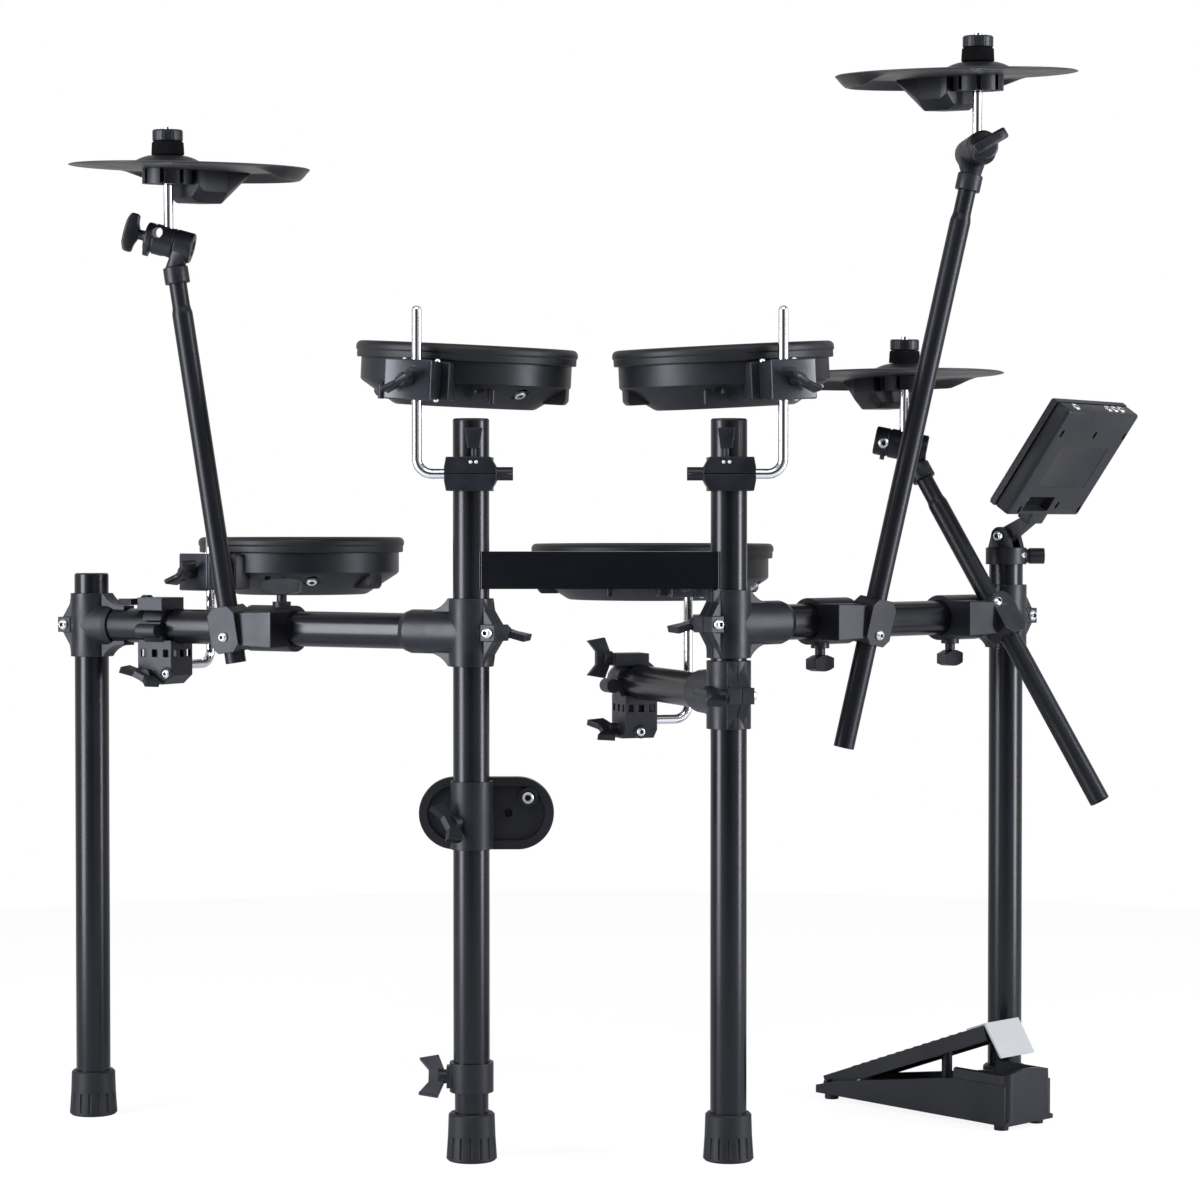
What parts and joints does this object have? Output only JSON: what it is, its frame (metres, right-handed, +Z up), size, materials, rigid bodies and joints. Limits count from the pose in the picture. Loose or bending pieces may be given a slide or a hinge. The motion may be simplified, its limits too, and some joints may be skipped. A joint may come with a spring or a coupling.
{
  "type": "electronic drum kit",
  "caption": "Electronic drum kit on a folding tube rack with mesh pads, rubber cymbals on booms, kick pad, tilting sound module and a hi-hat pedal.",
  "frame": {"origin": "on the floor under the middle of the plan box", "axes": "+Z up, +Y from the audience towards the drummer, +X from the ride side to the hi-hat side"},
  "size_m": [1.2202, 0.6766, 1.1886],
  "materials": {
    "black_tube": "satin black powder coat",
    "chrome_rod": "polished",
    "toe_steel": "brushed",
    "black_plastic": "fine moulded grain",
    "module_plastic": "fine moulded grain",
    "black_rubber": "matte",
    "cymbal_rubber": "matte"
  },
  "bodies": {
    "centre_frame": {"ride_inner_leg": "black_tube", "hihat_inner_leg": "black_tube", "crossbar": "black_tube", "inner_leg_caps": "black_plastic", "leg_collar": "black_plastic", "hihat_inner_foot": "black_rubber", "tom_clamps": "black_plastic"},
    "leg_extension": {"leg_extension": "black_tube", "ride_inner_foot": "black_rubber"},
    "ride_wing": {"ride_tee": "black_plastic", "ride_arm": "black_tube", "ride_outer_tee": "black_plastic", "ride_outer_leg": "black_tube", "ride_outer_foot": "black_rubber", "floor_tom_clamp": "black_plastic", "ride_boom_clamp": "black_plastic"},
    "hihat_wing": {"hihat_tee": "black_plastic", "hihat_arm": "black_tube", "hihat_outer_tee": "black_plastic", "hihat_outer_leg": "black_tube", "hihat_outer_foot": "black_rubber", "hihat_side_boom_clamps": "black_plastic", "pedal_base": "black_plastic", "pedal_bumper": "black_rubber"},
    "snare_swing": {"snare_tee": "black_plastic", "snare_arm": "black_tube", "snare_clamp": "black_plastic"},
    "tom_1_arm": {"tom_1_rod": "chrome_rod"},
    "tom_1_pad": {"tom_1_shell": "black_plastic", "tom_1_head": "black_rubber"},
    "tom_2_arm": {"tom_2_rod": "chrome_rod"},
    "tom_2_pad": {"tom_2_shell": "black_plastic", "tom_2_head": "black_rubber"},
    "floor_tom_arm": {"floor_tom_rod": "chrome_rod"},
    "floor_tom_pad": {"floor_tom_shell": "black_plastic", "floor_tom_head": "black_rubber"},
    "snare_arm": {"snare_rod": "chrome_rod"},
    "snare_pad": {"snare_shell": "black_plastic", "snare_head": "black_rubber"},
    "ride_stand": {"ride_boom": "black_tube"},
    "ride_holder": {"ride_tilter": "black_plastic", "ride_rod": "chrome_rod"},
    "ride_plate": {"ride_cymbal": "cymbal_rubber"},
    "crash_stand": {"crash_boom": "black_tube"},
    "crash_holder": {"crash_tilter": "black_plastic", "crash_rod": "chrome_rod"},
    "crash_plate": {"crash_cymbal": "cymbal_rubber"},
    "hihat_stand": {"hihat_boom": "black_tube"},
    "hihat_holder": {"hihat_tilter": "black_plastic", "hihat_rod": "chrome_rod"},
    "hihat_plate": {"hihat_cymbal": "cymbal_rubber"},
    "kick": {"kick_mount": "black_plastic", "kick_pad": "black_rubber"},
    "module_post": {"module_holder": "module_plastic"},
    "module": {"module_rear_case": "module_plastic", "module_front_panel": "module_plastic", "module_keys": "module_plastic"},
    "dial": {"module_dial": "module_plastic"},
    "pedal_board": {"pedal_footboard": "black_plastic", "pedal_toe_plate": "toe_steel"}
  },
  "joints": [
    {"name": "leg_extension_slide", "type": "slide", "parent": "centre_frame", "child": "leg_extension", "axis": [0, 0, -1], "range_m": [-0.018, 0.06]},
    {"name": "ride_wing_fold", "type": "hinge", "parent": "centre_frame", "child": "ride_wing", "pos_m": [-0.13282, -0.25785, 0], "axis": [0, 0, 1], "range_deg": [-10, 20]},
    {"name": "hihat_wing_fold", "type": "hinge", "parent": "centre_frame", "child": "hihat_wing", "pos_m": [0.13618, -0.25785, 0], "axis": [0, 0, 1], "range_deg": [-20, 10]},
    {"name": "snare_arm_swing", "type": "hinge", "parent": "centre_frame", "child": "snare_swing", "pos_m": [0.13618, -0.25785, 0], "axis": [0, 0, 1], "range_deg": [-10, 10]},
    {"name": "tom_1_rod_turn", "type": "hinge", "parent": "centre_frame", "child": "tom_1_arm", "pos_m": [-0.18772, -0.28485, 0.718], "axis": [-1, 0, 0], "range_deg": [-8, 10]},
    {"name": "tom_1_pad_swivel", "type": "hinge", "parent": "tom_1_arm", "child": "tom_1_pad", "pos_m": [-0.18772, -0.28485, 0.718], "axis": [0, 0, 1], "range_deg": [-6, 17]},
    {"name": "tom_2_rod_turn", "type": "hinge", "parent": "centre_frame", "child": "tom_2_arm", "pos_m": [0.19108, -0.28485, 0.718], "axis": [1, 0, 0], "range_deg": [-10, 8]},
    {"name": "tom_2_pad_swivel", "type": "hinge", "parent": "tom_2_arm", "child": "tom_2_pad", "pos_m": [0.19108, -0.28485, 0.718], "axis": [0, 0, 1], "range_deg": [-17, 6]},
    {"name": "floor_tom_rod_turn", "type": "hinge", "parent": "ride_wing", "child": "floor_tom_arm", "pos_m": [-0.43946, 0.01503, 0.509], "axis": [0.5, 0.866, 0], "range_deg": [-6, 6]},
    {"name": "floor_tom_pad_swivel", "type": "hinge", "parent": "floor_tom_arm", "child": "floor_tom_pad", "pos_m": [-0.43946, 0.01503, 0.509], "axis": [0, 0, 1], "range_deg": [-15, 15]},
    {"name": "snare_rod_turn", "type": "hinge", "parent": "snare_swing", "child": "snare_arm", "pos_m": [0.10219, 0.0374, 0.444], "axis": [0.9444, 0.3289, 0], "range_deg": [-6, 6]},
    {"name": "snare_pad_swivel", "type": "hinge", "parent": "snare_arm", "child": "snare_pad", "pos_m": [0.10219, 0.0374, 0.444], "axis": [0, 0, 1], "range_deg": [-15, 15]},
    {"name": "ride_boom_slide", "type": "slide", "parent": "ride_wing", "child": "ride_stand", "axis": [-0.1489, 0, 0.9889], "range_m": [-0.1, 0.012]},
    {"name": "ride_tilt", "type": "hinge", "parent": "ride_stand", "child": "ride_holder", "pos_m": [-0.45607, -0.14926, 0.96741], "axis": [0.9656, 0, -0.2599], "range_deg": [-15, 15]},
    {"name": "ride_cymbal_rock", "type": "hinge", "parent": "ride_holder", "child": "ride_plate", "pos_m": [-0.46235, -0.1542, 1.04995], "axis": [-0.7071, 0.7058, 0.0432], "range_deg": [-6, 4], "stiffness_Nm_per_rad": 6, "springref_deg": -2.11},
    {"name": "crash_boom_slide", "type": "slide", "parent": "hihat_wing", "child": "crash_stand", "axis": [0.2142, 0, 0.9768], "range_m": [-0.1, 0.1]},
    {"name": "crash_tilt", "type": "hinge", "parent": "crash_stand", "child": "crash_holder", "pos_m": [0.40263, -0.16803, 1.0647], "axis": [-0.2009, 0.9744, -0.1005], "range_deg": [-15, 15]},
    {"name": "crash_cymbal_rock", "type": "hinge", "parent": "crash_holder", "child": "crash_plate", "pos_m": [0.40394, -0.17931, 1.1462], "axis": [-0.7071, -0.7058, -0.0432], "range_deg": [-6, 4], "stiffness_Nm_per_rad": 6, "springref_deg": -2.11},
    {"name": "hihat_boom_slide", "type": "slide", "parent": "hihat_wing", "child": "hihat_stand", "axis": [-0.4411, 0.26, 0.859], "range_m": [-0.05, 0.1]},
    {"name": "hihat_tilt", "type": "hinge", "parent": "hihat_stand", "child": "hihat_holder", "pos_m": [0.3525, 0.02154, 0.75371], "axis": [0.9744, -0.1005, -0.2009], "range_deg": [-10, 10]},
    {"name": "hihat_cymbal_rock", "type": "hinge", "parent": "hihat_holder", "child": "hihat_plate", "pos_m": [0.34616, 0.01725, 0.83586], "axis": [-0.866, -0.4991, -0.0305], "range_deg": [-6, 4], "stiffness_Nm_per_rad": 6, "springref_deg": -2.11},
    {"name": "kick_height", "type": "slide", "parent": "centre_frame", "child": "kick", "axis": [0, 0, 1], "range_m": [-0.12, 0.1]},
    {"name": "module_swivel", "type": "hinge", "parent": "hihat_wing", "child": "module_post", "pos_m": [0.46322, 0.02745, 0], "axis": [0, 0, 1], "range_deg": [-20, 20]},
    {"name": "module_tilt", "type": "hinge", "parent": "module_post", "child": "module", "pos_m": [0.46322, 0.02745, 0.6525], "axis": [-0.6046, -0.7965, 0], "range_deg": [-15, 15]},
    {"name": "dial_turn", "type": "hinge", "parent": "module", "child": "dial", "pos_m": [0.49301, -0.0582, 0.76697], "axis": [-0.6525, 0.4953, 0.5736], "continuous": true},
    {"name": "pedal_press", "type": "hinge", "parent": "hihat_wing", "child": "pedal_board", "pos_m": [0.29127, 0.10791, 0.019], "axis": [0.7314, 0.682, 0], "range_deg": [0, 6.5], "stiffness_Nm_per_rad": 60, "springref_deg": -1.72}
  ]
}
